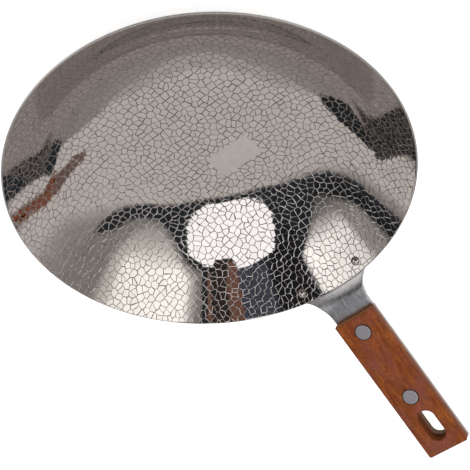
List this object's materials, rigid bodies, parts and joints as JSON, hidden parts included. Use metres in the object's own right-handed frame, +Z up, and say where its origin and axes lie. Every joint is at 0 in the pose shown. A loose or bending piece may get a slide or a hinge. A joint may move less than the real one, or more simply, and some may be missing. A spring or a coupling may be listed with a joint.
{
  "type": "frying pan",
  "caption": "Stainless steel frying pan: a shallow round bowl with sloping walls, a bent handle plate riveted under its rim, and a wooden handle with a hang slot.",
  "frame": {"origin": "centre of the flat base's underside, on the pan's axis", "axes": "+Z up along the pan's axis, +X along the handle seen from above, away from the pan"},
  "size_m": [0.3268, 0.2218, 0.1047],
  "materials": {
    "polished_steel": "polished, with an etched crackle inside the pan",
    "brushed_steel": "satin",
    "wood": "oiled reddish brown hardwood"
  },
  "bodies": {
    "root": {"pan_body": "polished_steel", "handle_plate": "brushed_steel", "pan_rivet_left": "polished_steel", "pan_rivet_right": "polished_steel", "top_scale": "wood", "bottom_scale": "wood", "front_rivet_post": "brushed_steel", "front_rivet_sleeve": "brushed_steel", "rear_rivet_post": "brushed_steel", "rear_rivet_sleeve": "brushed_steel"}
  },
  "joints": []
}
